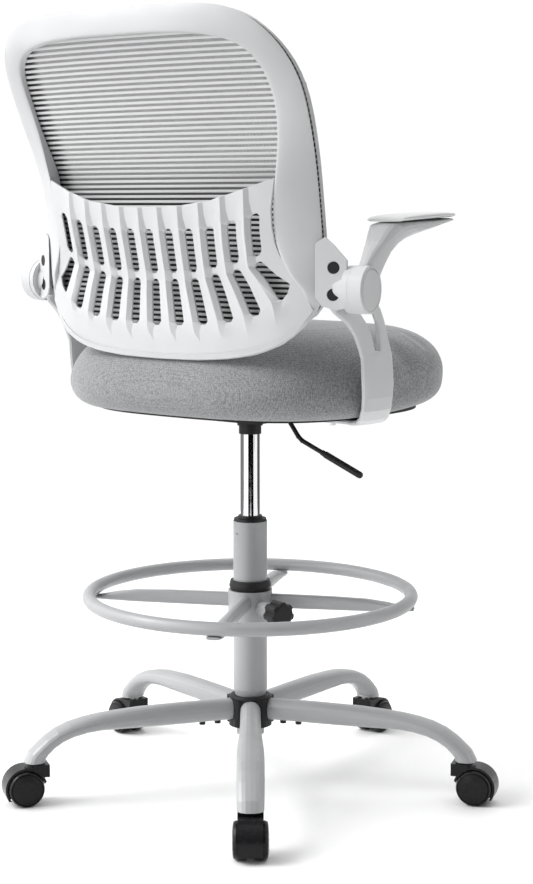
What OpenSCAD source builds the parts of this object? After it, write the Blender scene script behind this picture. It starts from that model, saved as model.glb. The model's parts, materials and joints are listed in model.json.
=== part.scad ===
// Drafting chair: five-leg caster base, tall gas column, foot ring,
// upholstered seat, flip-up arms and a mesh back in a ribbed plastic shell.
// Millimetres. Origin on the floor under the column axis, +Z up.
// The seated person faces -Y.

/* [Base] */
// direction of the first leg, degrees from +X
base_turn = 129; // [0:360]
// radius of the circle of caster stems
stem_radius = 314; // [310:318]
// wall of the leg tube
leg_wall = 2.2; // [1.8:0.1:2.6]

/* [Casters] */
// wheel diameter
wheel_diameter = 50; // [48:50]
// distance from the stem axis back to the axle
caster_trail = 20; // [18:22]

/* [Column] */
// outside diameter of the painted column tube
column_diameter = 49; // [48:50]
// height of the top of the column tube
column_top = 386; // [370:400]
// outside diameter of the chrome pressure tube
pressure_diameter = 28; // [27.6:0.1:28.4]
// height of the top of the pressure tube
pressure_top = 545; // [545:545]

/* [Foot ring] */
// height of the middle of the ring tube
ring_height = 278; // [210:340]
// radius of the ring measured to the middle of the tube
ring_radius = 232; // [230:234]
// diameter of the ring tube
ring_tube = 19; // [18:19]
// direction of the first spoke, degrees from +X
ring_turn = 117; // [0:360]

/* [Seat] */
// full width of the cushion
seat_width = 505; // [495:508]
// full depth of the cushion
seat_depth = 448; // [440:450]
// forward shift of the middle of the cushion
seat_shift = 17; // [15:25]
// height of the flat underside of the cushion
seat_bottom = 551; // [551:551]

/* [Arms] */
// distance from the middle of the chair to the inner face of an arm hub
arm_inner = 278; // [278:282]
// pivot distance behind the column axis
pivot_y = 126.5; // [125:128]
// pivot height
pivot_z = 729; // [728:730]
// radius of the arm hub
arm_hub = 31; // [30:31]
// how far the arms turn in towards the front, degrees
toe_in = 10; // [9:11]

/* [Hidden] */
wheel_r = wheel_diameter / 2;
axle_r = 3;
paint = [0.80, 0.81, 0.83];
shell_white = [0.88, 0.88, 0.89];
black = [0.07, 0.07, 0.07];
cloth = [0.58, 0.59, 0.61];
steel = [0.70, 0.71, 0.73];
leg_angles = [for (i = [0:4]) base_turn + 72 * i];

// ---------- shared helpers ----------

// signed power, used for rounded-rectangle sections
function spow(v, p) = sign(v) * pow(abs(v), p);

// smooth step from 0 to 1
function smooth(t) = t <= 0 ? 0 : (t >= 1 ? 1 : t * t * (3 - 2 * t));

// closed section around c with half vectors w and t, n points, squareness e
function section(c, w, t, n, e) =
  [for (i = [0:n - 1]) let (a = 360 * i / n) c + w * spow(cos(a), 2 / e) + t * spow(sin(a), 2 / e)];

// faces between m rings of n points; wrap joins the last ring to the first
function side_faces(m, n, wrap) =
  [for (i = [0:m - (wrap ? 1 : 2)]) for (j = [0:n - 1])
    let (k = (i + 1) % m, l = (j + 1) % n)
    for (f = [[i * n + j, i * n + l, k * n + l], [i * n + j, k * n + l, k * n + j]]) f];

// solid skinned over open sections with flat ends
module skin(rings) {
  m = len(rings);
  n = len(rings[0]);
  points = [for (r = rings) for (p = r) p];
  low = [for (j = [n - 1:-1:0]) j];
  high = [for (j = [0:n - 1]) (m - 1) * n + j];
  polyhedron(points, concat(side_faces(m, n, false), [low, high]), convexity = 6);
}

// solid skinned over sections that close on themselves
module skin_loop(rings) {
  m = len(rings);
  n = len(rings[0]);
  points = [for (r = rings) for (p = r) p];
  polyhedron(points, side_faces(m, n, true), convexity = 8);
}

// solid between two grids a and b of the same size, keeping only some cells
module sheet(a, b, keep) {
  m = len(a);
  n = len(a[0]);
  k = m * n;
  points = concat([for (r = a) for (p = r) p], [for (r = b) for (p = r) p]);
  cells = [for (i = [0:m - 2]) [for (j = [0:n - 2]) keep(i, j)]];
  is_kept = function (i, j) i >= 0 && j >= 0 && i < m - 1 && j < n - 1 && cells[i][j];
  at = function (i, j) i * n + j;
  faces = [for (i = [0:m - 2]) for (j = [0:n - 2]) if (cells[i][j])
    let (p = at(i, j), q = at(i, j + 1), r = at(i + 1, j + 1), s = at(i + 1, j))
    for (f = concat(
      [[p, r, q], [p, s, r], [k + p, k + q, k + r], [k + p, k + r, k + s]],
      is_kept(i - 1, j) ? [] : [[p, q, k + q], [p, k + q, k + p]],
      is_kept(i + 1, j) ? [] : [[s, k + s, k + r], [s, k + r, r]],
      is_kept(i, j - 1) ? [] : [[p, k + p, k + s], [p, k + s, s]],
      is_kept(i, j + 1) ? [] : [[q, r, k + r], [q, k + r, k + q]])) f];
  polyhedron(points, faces, convexity = 10);
}

// round bar between two points
module bar(p, q, r, fn = 24) {
  d = q - p;
  h = norm(d);
  translate(p)
    rotate([0, acos(d[2] / h), atan2(d[1], d[0])])
      cylinder(h = h, r = r, $fn = fn);
}

// ---------- base ----------

// leg centre line and section sizes: [radius, height, half width, half height, slope in degrees]
leg_stations = [
  [30, 111, 14.5, 15.5, 0],
  [60, 111, 14.5, 15.5, 0],
  [95, 111, 14.6, 15.6, 0],
  [130, 110.8, 15.2, 15.3, 1],
  [165, 110.6, 16.4, 14.8, 2],
  [200, 109.8, 17.6, 13.4, 3],
  [225, 108.8, 18.4, 12.2, 6],
  [247, 106, 18.8, 11.4, 12],
  [267, 101.4, 18.9, 11, 20],
  [284, 94.6, 18.9, 10.8, 30],
  [298, 85.8, 18.7, 10.8, 40],
  [308, 76.8, 18.5, 11.2, 50],
  [316, 68.4, 18.3, 12.6, 62],
  [319.5, 60, 18, 15, 90]];

// one ring of the leg, shrunk by w
function leg_ring(s, w) =
  section([s[0], 0, s[1]], [0, s[2] - w, 0], [sin(s[4]) * (s[3] - w), 0, cos(s[4]) * (s[3] - w)], 20, 2.3);

module leg(k) {
  outer = [for (s = leg_stations) leg_ring(s, 0)];
  inner = [for (i = [len(leg_stations) - 1:-1:0]) leg_ring(leg_stations[i], leg_wall)];
  rotate([0, 0, leg_angles[k - 1]])
    color(paint)
      difference() {
        skin_loop(concat(outer, inner));
        for (r = [50, 73])
          translate([r, 0, 90])
            cylinder(h = 12, d = 5.4, $fn = 20);
      }
}

module leg_bolts() {
  color(black)
    for (a = leg_angles)
      rotate([0, 0, a])
        for (r = [50, 73])
          translate([r, 0, 0])
            union() {
              translate([0, 0, 91.4])
                cylinder(h = 4, d = 9, $fn = 32);
              translate([0, 0, 95])
                cylinder(h = 10, d = 5, $fn = 24);
            }
}

module hub_casting() {
  color(black)
    difference() {
      union() {
        difference() {
          union() {
            translate([0, 0, 86])
              cylinder(h = 42, d = 62, $fn = 72);
            translate([0, 0, 128])
              cylinder(h = 3, d1 = 62, d2 = 56, $fn = 72);
            // lobes standing between neighbouring legs
            for (a = leg_angles)
              rotate([0, 0, a + 36])
                translate([27, 0, 88])
                  cylinder(h = 39, d = 17, $fn = 40);
          }
          // seats for the ends of the leg tubes
          for (a = leg_angles)
            rotate([0, 0, a])
              translate([29.8, -15, 95])
                cube([20, 30, 32]);
        }
        // stubs that carry the leg tubes
        for (a = leg_angles)
          rotate([0, 0, a])
            translate([22, -8.5, 101])
              cube([78, 17, 20]);
      }
      translate([0, 0, 80])
        cylinder(h = 60, d1 = 40.6, d2 = 45, $fn = 72);
      for (a = leg_angles)
        rotate([0, 0, a])
          for (r = [50, 73])
            translate([r, 0, 100])
              cylinder(h = 5, d = 5, $fn = 24);
    }
}

module stem_sockets() {
  color(steel)
    for (a = leg_angles)
      rotate([0, 0, a])
        translate([stem_radius, 0, 0])
          difference() {
            translate([0, 0, 61])
              cylinder(h = 13.4, r1 = 9, r2 = 6.6, $fn = 40);
            translate([0, 0, 58])
              cylinder(h = 14.6, r = 5.05, $fn = 40);
          }
}

// ---------- casters ----------

// place a caster part: stem on the stem circle, wheels trailing outward
module at_caster(k) {
  rotate([0, 0, leg_angles[k - 1]])
    translate([stem_radius, 0, 0])
      children();
}

module caster_hood(k) {
  at_caster(k)
    color(black)
      difference() {
        union() {
          // guard over the wheels
          intersection() {
            translate([caster_trail, 16, wheel_r])
              rotate([90, 0, 0])
                cylinder(h = 32, r = wheel_r + 4.6, $fn = 72);
            translate([0, 30, 0])
              rotate([90, 0, 0])
                linear_extrude(60)
                  polygon([[-14, 64], [-14, 40], [6, 16], [16, 9], [52, 9], [52, 64]]);
          }
          // neck that holds the stem
          translate([-13, -17, 40])
            cube([24, 34, 17.6]);
        }
        // room for the two wheels
        for (s = [-1, 1])
          translate([caster_trail, s * 3.2, wheel_r])
            rotate([s * -90, 0, 0])
              cylinder(h = 30, r = wheel_r + 1.2, $fn = 72);
        // bores for the axle and the stem
        translate([caster_trail, 10, wheel_r])
          rotate([90, 0, 0])
            cylinder(h = 20, r = axle_r, $fn = 32);
        translate([0, 0, 44])
          cylinder(h = 20, r = 5, $fn = 40);
      }
}

module caster_pins(k) {
  at_caster(k)
    color(steel) {
      union() {
        translate([0, 0, 44])
          cylinder(h = 13.6, r = 5, $fn = 40);
        translate([0, 0, 57.6])
          cylinder(h = 1.6, r = 7.6, $fn = 40);
        translate([0, 0, 59])
          cylinder(h = 13.2, r = 5, $fn = 40);
      }
      translate([caster_trail, 19, wheel_r])
        rotate([90, 0, 0])
          cylinder(h = 38, r = axle_r, $fn = 32);
    }
}

// wheel profile: [distance from the caster middle, radius]
wheel_profile = [[axle_r + 0.05, 4], [wheel_r - 2, 4], [wheel_r, 6], [wheel_r, 19], [wheel_r - 1.4, 22],
  [wheel_r - 2.6, 22.6], [wheel_r - 3.2, 21.8], [wheel_r - 3.8, 22.8], [13, 24], [0, 24], [0, 19.4],
  [axle_r + 0.05, 19.4]];

module wheel(k, s) {
  at_caster(k)
    translate([caster_trail, 0, wheel_r])
      rotate([s * -90, 0, 0])
        color(black)
          rotate_extrude($fn = 72)
            polygon(wheel_profile);
}

// ---------- column ----------

module column_tube() {
  color(paint)
    difference() {
      union() {
        translate([0, 0, 80])
          cylinder(h = 60, d1 = 40.6, d2 = 45, $fn = 72);
        translate([0, 0, 131])
          cylinder(h = 9, d1 = 44, d2 = column_diameter, $fn = 72);
        translate([0, 0, 140])
          cylinder(h = column_top - 140, d = column_diameter, $fn = 72);
        translate([0, 0, 73])
          cylinder(h = 7, d = 40, $fn = 72);
      }
      translate([0, 0, 84])
        cylinder(h = 400, d = 34.6, $fn = 72);
      translate([0, 0, 70])
        cylinder(h = 20, d = 10.4, $fn = 32);
      // two punch marks near the top
      for (a = [-22, -16])
        rotate([0, 0, base_turn - 30 + a])
          translate([column_diameter / 2 - 0.8, 0, column_top - 17])
            rotate([0, 90, 0])
              cylinder(h = 3, d = 2.4, $fn = 16);
    }
}

module guide_bush() {
  color(black)
    difference() {
      union() {
        translate([0, 0, column_top - 64])
          cylinder(h = 64, d = 34.6, $fn = 72);
        translate([0, 0, column_top])
          cylinder(h = 4, d1 = column_diameter - 1, d2 = column_diameter - 3, $fn = 72);
        translate([0, 0, column_top + 4])
          cylinder(h = 4, d1 = 36, d2 = 34, $fn = 72);
      }
      translate([0, 0, column_top - 70])
        cylinder(h = 90, d = pressure_diameter + 0.12, $fn = 72);
    }
}

module thrust_washer() {
  color(steel)
    difference() {
      translate([0, 0, 84.1])
        cylinder(h = 4, d = 30, $fn = 48);
      translate([0, 0, 80])
        cylinder(h = 12, d = 10, $fn = 32);
    }
}

module piston_rod() {
  color(steel)
    union() {
      translate([0, 0, 75])
        cylinder(h = 295, d = 10, $fn = 32);
      translate([0, 0, 360])
        cylinder(h = 12, d = 23.6, $fn = 48);
      // groove ring that holds the clip
      translate([0, 0, 68.6])
        cylinder(h = 4, d = 14, $fn = 32);
      translate([0, 0, 72])
        cylinder(h = 4, d = 10, $fn = 32);
    }
}

module pressure_tube() {
  color(steel)
    difference() {
      union() {
        translate([0, 0, 225])
          cylinder(h = pressure_top - 225 - 30, d = pressure_diameter, $fn = 72);
        translate([0, 0, pressure_top - 30])
          cylinder(h = 30, d1 = pressure_diameter, d2 = 26.4, $fn = 72);
      }
      translate([0, 0, 233])
        cylinder(h = pressure_top - 233 - 14, d = 24, $fn = 48);
      translate([0, 0, 220])
        cylinder(h = 20, d = 10.1, $fn = 32);
      translate([0, 0, pressure_top - 20])
        cylinder(h = 30, d = 8.06, $fn = 32);
    }
}

module dust_boot() {
  color(black)
    difference() {
      union() {
        translate([0, 0, 512])
          cylinder(h = 13, d = 32, $fn = 64);
        translate([0, 0, 524])
          cylinder(h = 2.6, d = 36.5, $fn = 64);
      }
      translate([0, 0, 510])
        cylinder(h = 20, d = pressure_diameter, $fn = 72);
    }
}

// ---------- foot ring ----------

module ring_sleeve() {
  color(black)
    difference() {
      union() {
        translate([0, 0, ring_height + 8])
          cylinder(h = 6, d1 = 58, d2 = 61, $fn = 72);
        translate([0, 0, ring_height + 14])
          cylinder(h = 8, d1 = 61, d2 = 57, $fn = 72);
        translate([0, 0, ring_height - 48])
          cylinder(h = 57, d = 54, $fn = 72);
      }
      translate([0, 0, ring_height - 60])
        cylinder(h = 90, d = column_diameter + 0.12, $fn = 72);
    }
}

// flattened spoke stations: [radius, half width, half height, rise]
spoke_stations = [[29, 7.6, 10.4, -8], [60, 7.6, 10.4, -8], [120, 7.8, 10, -8], [170, 9, 9, -8.6],
  [200, 11, 6.4, -10], [215, 12, 4.4, -11.6], [226, 12, 2.8, -12.2], [238, 9.4, 1.9, -12.2]];

// height of the clamping knob below the middle of the ring tube
knob_drop = 16;
// outside diameter of the hub that the spokes are welded to
hub_ring_diameter = 64;
// distance from the column axis to the back of the knob
knob_start = 62;

module ring_spoke() {
  difference() {
    skin([for (s = spoke_stations)
      section([s[0], 0, ring_height + s[3]], [0, -s[1], 0], [0, 0, s[2]], 16, 2.6)]);
    translate([0, 0, ring_height - 40])
      cylinder(h = 50, d = hub_ring_diameter, $fn = 72);
  }
}

// hoop with the four spokes whose flattened ends run under it
module ring_hoop() {
  color(paint) {
    translate([0, 0, ring_height])
      rotate_extrude($fn = 120)
        translate([ring_radius, 0])
          circle(d = ring_tube, $fn = 32);
    for (i = [0:3])
      rotate([0, 0, ring_turn + 90 * i])
        ring_spoke();
  }
}

module ring_hub() {
  color(paint)
    difference() {
      union() {
        translate([0, 0, ring_height - 46])
          cylinder(h = 6, d1 = hub_ring_diameter - 4, d2 = hub_ring_diameter, $fn = 72);
        translate([0, 0, ring_height - 40])
          cylinder(h = 47.6, d = hub_ring_diameter, $fn = 72);
        // boss for the knob screw
        rotate([0, 0, ring_turn + 45])
          translate([0, 0, ring_height - knob_drop])
            rotate([0, 90, 0])
              cylinder(h = knob_start - 6, d = 22, $fn = 40);
      }
      translate([0, 0, ring_height - 60])
        cylinder(h = 90, d = 54.12, $fn = 72);
      rotate([0, 0, ring_turn + 45])
        translate([20, 0, ring_height - knob_drop])
          rotate([0, 90, 0])
            cylinder(h = 50, d = 8.1, $fn = 32);
    }
}

module ring_knob() {
  color(black)
    rotate([0, 0, ring_turn + 45])
      translate([0, 0, ring_height - knob_drop])
        rotate([0, 90, 0])
          union() {
            translate([0, 0, 27.6])
              cylinder(h = knob_start - 26, d = 8, $fn = 32);
            difference() {
              union() {
                translate([0, 0, knob_start])
                  cylinder(h = 23, d = 37, $fn = 60);
                translate([0, 0, knob_start - 4])
                  cylinder(h = 5, d1 = 20, d2 = 26, $fn = 40);
                translate([0, 0, knob_start + 23])
                  cylinder(h = 3, d1 = 33, d2 = 26, $fn = 60);
              }
              for (i = [0:6])
                rotate([0, 0, i * 360 / 7])
                  translate([22.2, 0, knob_start - 5])
                    cylinder(h = 33, d = 13, $fn = 32);
            }
          }
}

// ---------- seat ----------

// superellipse outline of the cushion, scaled by s
function seat_point(a, s) =
  [spow(cos(a), 2 / 3) * seat_width / 2 * s, spow(sin(a), 2 / 3) * seat_depth / 2 * s - seat_shift];

// cushion levels: [outline scale, height above the underside, share of front lift, share of rear drop]
seat_levels = [[0.852, 0, 1, 0], [0.9, 3, 1, 0], [0.94, 8, 1, 0], [0.972, 15, 1, 0], [0.992, 27, 0.8, 0.1],
  [1, 44, 0.4, 0.5], [0.992, 60, 0.2, 0.9], [0.966, 76, 0.1, 1], [0.92, 90, 0, 1], [0.85, 100, 0, 1],
  [0.74, 107, 0, 1], [0.58, 111, 0, 1], [0.34, 112.6, 0, 1]];

// how much the lower front edge of the cushion lifts
front_lift = 9;
// how much the upper rear edge of the cushion drops
rear_drop = 12;

function seat_ring(l) =
  [for (i = [0:47]) let (p = seat_point(i * 7.5, l[0]),
    lift = front_lift * l[2] * smooth((40 - p[1]) / 260),
    drop = rear_drop * l[3] * smooth((p[1] - 30) / 140))
    [p[0], p[1], seat_bottom + l[1] + lift - drop]];

// recess for the seat board
board_scale = 0.84;

module board_outline(s) {
  polygon([for (i = [0:71]) seat_point(i * 5, s)]);
}

module seat_cushion() {
  color(cloth)
    difference() {
      skin([for (l = seat_levels) seat_ring(l)]);
      translate([0, 0, seat_bottom - 10])
        linear_extrude(22.5)
          board_outline(board_scale + 0.004);
    }
}

module seat_board() {
  color(black)
    difference() {
      translate([0, 0, seat_bottom - 0.8])
        linear_extrude(13)
          board_outline(board_scale);
      for (p = bolt_places)
        translate([p[0], p[1], seat_bottom - 3])
          cylinder(h = 13, d = 6, $fn = 24);
      // pocket over the release button
      translate([-6, 0, seat_bottom - 3])
        cylinder(h = 9, d = 32, $fn = 40);
    }
}

// bolts that hold the mechanism and the two arm brackets: [x, y]
bolt_places = [[-85, -62], [85, -62], [-85, 58], [85, 58], [-160, -8], [-160, 20], [160, -8], [160, 20]];

module seat_bolts() {
  color(steel)
    for (p = bolt_places)
      translate([p[0], p[1], 0])
        union() {
          translate([0, 0, abs(p[0]) > 120 ? seat_bottom - 13.8 : seat_bottom - 7.8])
            cylinder(h = 4, d = 11, $fn = 6);
          translate([0, 0, abs(p[0]) > 120 ? seat_bottom - 11 : seat_bottom - 5])
            cylinder(h = abs(p[0]) > 120 ? 19 : 13, d = 6, $fn = 24);
        }
}

module mechanism_plate() {
  color(black)
    difference() {
      union() {
        translate([-105, -80, seat_bottom - 3.8])
          cube([210, 156, 3]);
        // pressed box around the column socket
        translate([-50, -46, 532])
          cube([100, 92, seat_bottom - 532.8]);
        translate([0, 0, 526.8])
          cylinder(h = 8, d = 38, $fn = 64);
        // stiffening flanges
        for (s = [-1, 1])
          translate([-100, s * 72 - 1.5, 540])
            cube([200, 3, 9]);
      }
      // tapered socket for the pressure tube
      translate([0, 0, pressure_top - 30])
        cylinder(h = 30, d1 = pressure_diameter, d2 = 26.4, $fn = 72);
      translate([0, 0, 520])
        cylinder(h = 7, d = 28.2, $fn = 72);
      // room for the release button
      translate([0, 0, pressure_top - 1])
        cylinder(h = 30, d = 20, $fn = 40);
      // channel for the lever and the bore for its pivot
      translate([-60, -5, 535.5])
        cube([56, 10, 30]);
      translate([lever_pivot[0], 14, lever_pivot[2]])
        rotate([90, 0, 0])
          cylinder(h = 28, r = 2.25, $fn = 32);
      for (i = [0:3])
        translate([bolt_places[i][0], bolt_places[i][1], 540])
          cylinder(h = 20, d = 6, $fn = 24);
    }
}

module release_pin() {
  color(steel)
    translate([0, 0, pressure_top - 15.5])
      cylinder(h = 19, d = 7.94, $fn = 32);
}

// lever pivot and the lever path in the y = 0 plane, from the release button outwards
lever_pivot = [-46, 0, 539.5];
lever_path = [[-64, 0, 538.6], [-71, 0, 534.5], [-87, 0, 514], [-94, 0, 508.5], [-138, 0, 490.9]];
lever_nose = [-5, 0, 551.6];
grip_start = [-134.5, 0, 492.3];
grip_end = [-193, 0, 468.9];

module height_lever() {
  path = concat([lever_pivot], lever_path);
  color(black)
    union() {
      for (i = [0:len(path) - 2])
        bar(path[i], path[i + 1], 3.2);
      for (i = [0:len(path) - 2])
        translate(path[i])
          sphere(r = 3.5, $fn = 24);
      bar(lever_pivot, lever_nose, 2.2);
      translate([lever_pivot[0], 13, lever_pivot[2]])
        rotate([90, 0, 0])
          cylinder(h = 26, r = 2.2, $fn = 32);
    }
}

// grip profile along its axis from the rounded end: [radius, distance]
grip_profile = [[0, -4.4], [2.4, -4], [4.2, -2.4], [4.8, 0], [4.8, 63], [4, 64], [4, 69], [3.2, 69], [3.2, 59.2],
  [0, 59.2]];

module lever_grip() {
  d = grip_start - grip_end;
  color(black)
    translate(grip_end)
      rotate([0, acos(d[2] / norm(d)), atan2(d[1], d[0])])
        rotate_extrude($fn = 40)
          polygon(grip_profile);
}

// ---------- arm brackets ----------

// lower band: [x, y, z, half width, half thickness, tilt of the thickness in degrees]
band_stations = [
  [118, 6, 545.7, 29, 4.5, 90], [160, 6, 545.7, 33, 4.5, 90], [196, 6, 545.7, 34, 4.5, 90],
  [210, 11, 545.2, 34, 4.4, 84], [225, 20, 547.3, 33.5, 4.3, 66], [243, 38, 555.2, 32.6, 4.3, 48],
  [257, 52, 569, 32.4, 4.3, 34], [262, 57, 585, 33, 4.3, 16], [263.8, 59, 601, 34, 4.3, 3],
  [264, 61, 622, 33.6, 4.4, 0], [264, 63, 640, 33, 4.4, 0], [264, 64, 646, 32, 3.6, 0]];

// struts above the band: [rear edge x, y, front edge x, y, height, half thickness]
front_strut = [[268.2, 64, 269.2, 31, 632, 4.2], [268.4, 60, 270, 37, 650, 4.4],
  [268.6, 61, 270, 45, 668, 4.4], [269, 67, 271, 53, 685, 4.4], [270, 78, 272.6, 63, 700, 4.5],
  [271, 91, 274, 75, 712, 4.6], [266, 105, 270, 90, 722, 4.8], [258, 121, 265, 105, 730, 4.6]];
rear_strut = [[268, 93, 268, 60, 632, 4.2], [268, 101, 268, 70, 650, 4.4], [267.6, 111, 268.4, 77, 668, 4.5],
  [265.6, 126, 268.6, 90, 685, 4.8], [260.5, 146, 269, 104, 698, 5], [256.6, 154, 269.6, 112, 708, 5],
  [252, 156.6, 270, 120, 722, 4.6]];

function strut_ring(s) =
  let (r = [s[0], s[1]], f = [s[2], s[3]], w = (r - f) / 2, out = [w[1], -w[0]] / norm(w),
    c = (r + f) / 2 - out * s[5])
  section([c[0], c[1], s[4]], [w[0], w[1], 0], [out[0] * s[5], out[1] * s[5], 0], 16, 3.4);

// the screw plate stands in its own plane: u runs outward and forward, n points outward and back
plate_turn = -25;
plate_corner = [236.5, 162.5];
plate_outline = [[1, 720], [1, 788], [13.5, 795.5], [24, 786], [42, 766], [42, 706], [29, 702.5], [9.5, 708]];

module in_plate(u, z, n) {
  translate([plate_corner[0], plate_corner[1], 0])
    rotate([0, 0, plate_turn])
      translate([u, n, z])
        children();
}

// screw places on the plate: [u, z]
plate_screws = [[25, 757], [24.4, 722.6]];

// the arm pivot frame: x runs outward along the pivot axis from the inner face of the arm hub
module in_arm(x = 0) {
  translate([arm_inner, pivot_y, pivot_z])
    rotate([0, 0, -toe_in])
      translate([x, 0, 0])
        children();
}

// round piece along the pivot axis
module pivot_disc(x, h, r1, r2, fn = 72) {
  in_arm(x)
    rotate([0, 90, 0])
      cylinder(h = h, r1 = r1, r2 = r2, $fn = fn);
}

module bracket() {
  difference() {
    union() {
      skin([for (s = band_stations)
        section([s[0], s[1], s[2]], [0, s[3], 0], [cos(s[5]) * s[4], 0, -sin(s[5]) * s[4]], 16, 4)]);
      skin([for (s = front_strut) strut_ring(s)]);
      skin([for (s = rear_strut) strut_ring(s)]);
      // screw plate
      in_plate(0, 0, 0)
        rotate([90, 0, 0])
          linear_extrude(9)
            polygon(plate_outline);
      // pivot boss: a wide face against the arm hub on a narrower core
      pivot_disc(-9, 8.5, arm_hub - 0.4, arm_hub - 0.4, 96);
      pivot_disc(-24, 16, 23, 23);
    }
    // pivot pin bore
    pivot_disc(-30, 40, 6, 6, 40);
    // screw holes
    for (p = plate_screws)
      in_plate(p[0], p[1], 1)
        rotate([90, 0, 0]) {
          cylinder(h = 3.6, r = 8, $fn = 40);
          cylinder(h = 14, r = 3, $fn = 24);
        }
    // room for the edge of the shell and for the two lugs of the carrier
    translate([0, 0, 700])
      linear_extrude(100)
        polygon([[200, 100], [243.9, 100], [243.9, 155.9], [237.7, 161], [228, 168], [200, 168]]);
    for (z = [715.6, 748.6])
      in_plate(-0.4, z, -22.4)
        cube([34.8, 13.3, 15.8]);
    for (y = [-8, 20])
      translate([160, y, 530])
        cylinder(h = 30, d = 6.4, $fn = 24);
  }
}

module bracket_left() {
  color(shell_white)
    bracket();
}

module bracket_right() {
  color(shell_white)
    mirror([1, 0, 0])
      bracket();
}

module bracket_screws() {
  color(black)
    for (m = [0, 1])
      mirror([m, 0, 0])
        for (p = plate_screws)
          in_plate(p[0], p[1], -0.3)
            rotate([90, 0, 0])
              union() {
                cylinder(h = 2.2, r = 7.7, $fn = 40);
                cylinder(h = 12.8, r = 2.9, $fn = 24);
              }
}

// thickness of the arm hub along its axis
hub_width = 20.4;

module arm_pivot_pins() {
  color(steel)
    for (m = [0, 1])
      mirror([m, 0, 0])
        union() {
          pivot_disc(-23.6, 37.2, 5.96, 5.96, 40);
          pivot_disc(13.4, 2.6, 9, 9, 40);
        }
}

// ---------- flip-up arms ----------

// arm post and plate in the pivot frame: [x, y, z, half width, half depth y, half depth z]
arm_stations = [
  [10.2, -3, 6, 9.6, 22, 6], [10.3, -11.5, 20, 9.9, 18.6, 9.4], [12.6, -22.4, 39, 12.8, 15.2, 10.4],
  [15, -30.6, 53, 16.2, 12.6, 8.6], [18, -38.6, 65, 20.4, 13, 9.4], [21.2, -48, 73.4, 24.4, 16.8, 10.6],
  [23.6, -66, 77, 27.2, 19, 8.8], [24.6, -92, 79.2, 28.4, 11, 7.6], [24.9, -129, 82, 28.6, 4, 5.4],
  [24.9, -166, 85.2, 27.6, 1.6, 3.2], [24.9, -196, 87.2, 24, 0.6, 1.9], [24.9, -214, 88.4, 14.6, 0, 1.1]];

module armrest() {
  difference() {
    union() {
      in_arm()
        skin([for (s = arm_stations)
          section([s[0], s[1], s[2]], [-s[3], 0, 0], [0, s[4], s[5]], 20, 2.8)]);
      pivot_disc(0, hub_width - 1.2, arm_hub, arm_hub, 96);
      pivot_disc(hub_width - 1.2, 1.2, arm_hub, arm_hub - 1.2, 96);
    }
    // bore, room for the pin head, and the recess for the cap
    pivot_disc(-4, 30, 6.01, 6.01, 40);
    pivot_disc(13.2, 5, 9.4, 9.4, 40);
    pivot_disc(hub_width - 4, 20, 27, 27);
  }
}

module armrest_left() {
  color(shell_white)
    armrest();
}

module armrest_right() {
  color(shell_white)
    mirror([1, 0, 0])
      armrest();
}

module arm_cap() {
  union() {
    pivot_disc(hub_width - 3.8, 3.4, 26.6, 26.6);
    pivot_disc(hub_width - 0.4, 0.8, 26.6, 25.6);
  }
}

module arm_cap_left() {
  color(shell_white)
    arm_cap();
}

module arm_cap_right() {
  color(shell_white)
    mirror([1, 0, 0])
      arm_cap();
}

// underside of the pad: height at its rear end and its rise per millimetre forward
pad_floor = 85.7;
pad_rise = 0.027;

// pad stations in the pivot frame: [y, half width, half height]
pad_stations = [[-29, 24.6, 1.6], [-32.6, 27.4, 3.4], [-46, 28.2, 4.1], [-84, 28.8, 4.6], [-124, 29, 4.8],
  [-164, 28.2, 4.6], [-195, 25.4, 4.1], [-212, 20.6, 3.3], [-224, 14, 2.5], [-230, 7.6, 1.6]];

module arm_pad() {
  in_arm()
    skin([for (s = pad_stations)
      section([24.9, s[0], pad_floor - pad_rise * (s[0] + 30) + s[2]], [-s[1], 0, 0], [0, 0, s[2]], 20, 2.8)]);
}

module arm_pad_left() {
  color(shell_white)
    arm_pad();
}

module arm_pad_right() {
  color(shell_white)
    mirror([1, 0, 0])
      arm_pad();
}

// ---------- back ----------

// middle line of the shell surface seen from the side: [z, y]
back_line = [[631, 192], [655, 196], [674, 198], [742, 200.5], [804, 214], [833, 219], [880, 223]];

// rear surface of the lumbar panel
function panel_y(x, z) = lookup(z, back_line) - 0.00042 * x * x - 0.0000000065 * pow(x, 4);

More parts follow.
